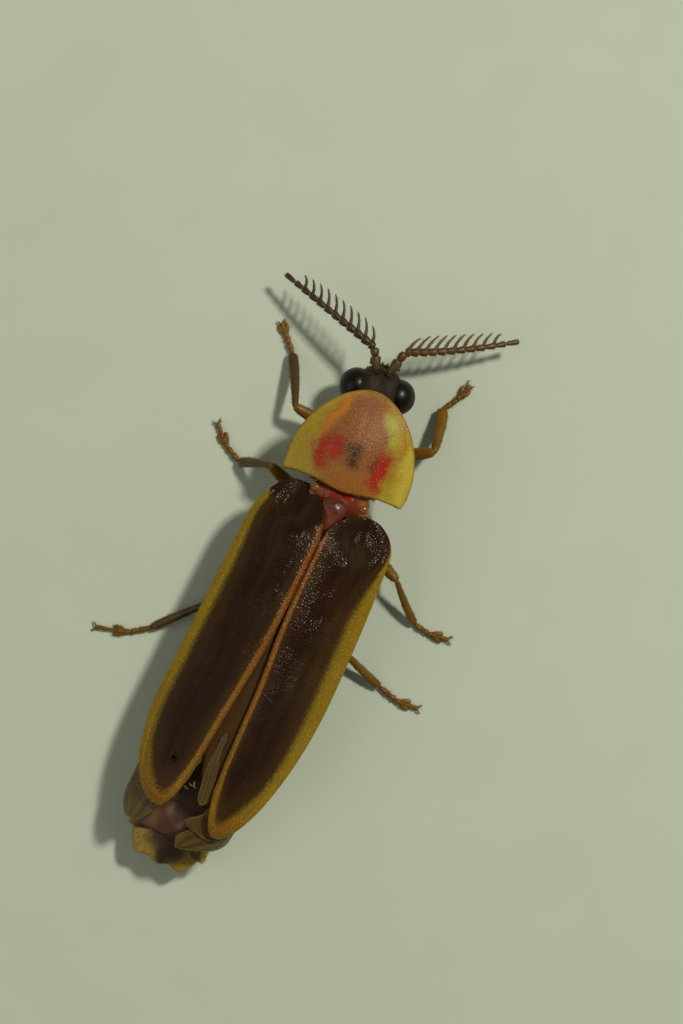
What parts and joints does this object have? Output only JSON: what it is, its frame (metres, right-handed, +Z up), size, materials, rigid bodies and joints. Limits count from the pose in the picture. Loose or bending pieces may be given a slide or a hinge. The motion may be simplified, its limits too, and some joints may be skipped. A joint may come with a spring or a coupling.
{
  "type": "firefly",
  "caption": "Life-size still firefly with comb-shaped feelers, a wide yellow shield, dark yellow-edged wing cases slightly apart and folded wings, standing on its legs.",
  "frame": {"origin": "on the floor, under the middle of the insect's bounding box", "axes": "+Z up, -Y towards the head, +X towards the insect's left side"},
  "size_m": [0.0096, 0.0176, 0.003],
  "materials": {
    "wing_case": "dark brown leathery wing case with amber-yellow margins and fine golden hairs",
    "wing_membrane": "thin folded smoky olive wing membrane with raised veins",
    "eye": "glossy black compound eye with fine facets",
    "shield": "translucent yellow shield with a rose disc, two red patches and a dark centre",
    "mid_plate": "glossy red-brown plates between shield and wing cases",
    "head_cuticle": "dull dark brown, finely granular",
    "feeler": "brown to amber feelers with short hairs",
    "leg_cuticle": "amber legs with short hairs, darker at the joints",
    "trunk_cuticle": "dark brown body plates",
    "tail_plate": "amber-yellow tail plate with a dark brown centre"
  },
  "bodies": {
    "root": {"abdomen_1": "trunk_cuticle", "abdomen_2": "trunk_cuticle", "abdomen_3": "trunk_cuticle", "abdomen_4": "trunk_cuticle", "abdomen_5": "trunk_cuticle", "abdomen_6": "trunk_cuticle", "abdomen_7": "trunk_cuticle", "antenna_left": "feeler", "antenna_right": "feeler", "coxa_fore_left": "leg_cuticle", "coxa_fore_right": "leg_cuticle", "coxa_hind_left": "leg_cuticle", "coxa_hind_right": "leg_cuticle", "coxa_middle_left": "leg_cuticle", "coxa_middle_right": "leg_cuticle", "elytron_left": "wing_case", "elytron_right": "wing_case", "eye_left": "eye", "eye_right": "eye", "femur_fore_left": "leg_cuticle", "femur_fore_right": "leg_cuticle", "femur_hind_left": "leg_cuticle", "femur_hind_right": "leg_cuticle", "femur_middle_left": "leg_cuticle", "femur_middle_right": "leg_cuticle", "head": "head_cuticle", "hind_wing_left": "wing_membrane", "hind_wing_right": "wing_membrane", "mesonotum": "mid_plate", "neck": "head_cuticle", "palp_left": "feeler", "palp_right": "feeler", "pronotum": "shield", "prothorax": "trunk_cuticle", "pygidium": "tail_plate", "scape_left": "feeler", "scape_right": "feeler", "scutellum": "mid_plate", "tarsus_fore_left": "leg_cuticle", "tarsus_fore_right": "leg_cuticle", "tarsus_hind_left": "leg_cuticle", "tarsus_hind_right": "leg_cuticle", "tarsus_middle_left": "leg_cuticle", "tarsus_middle_right": "leg_cuticle", "thorax": "trunk_cuticle", "tibia_fore_left": "leg_cuticle", "tibia_fore_right": "leg_cuticle", "tibia_hind_left": "leg_cuticle", "tibia_hind_right": "leg_cuticle", "tibia_middle_left": "leg_cuticle", "tibia_middle_right": "leg_cuticle"}
  },
  "joints": []
}
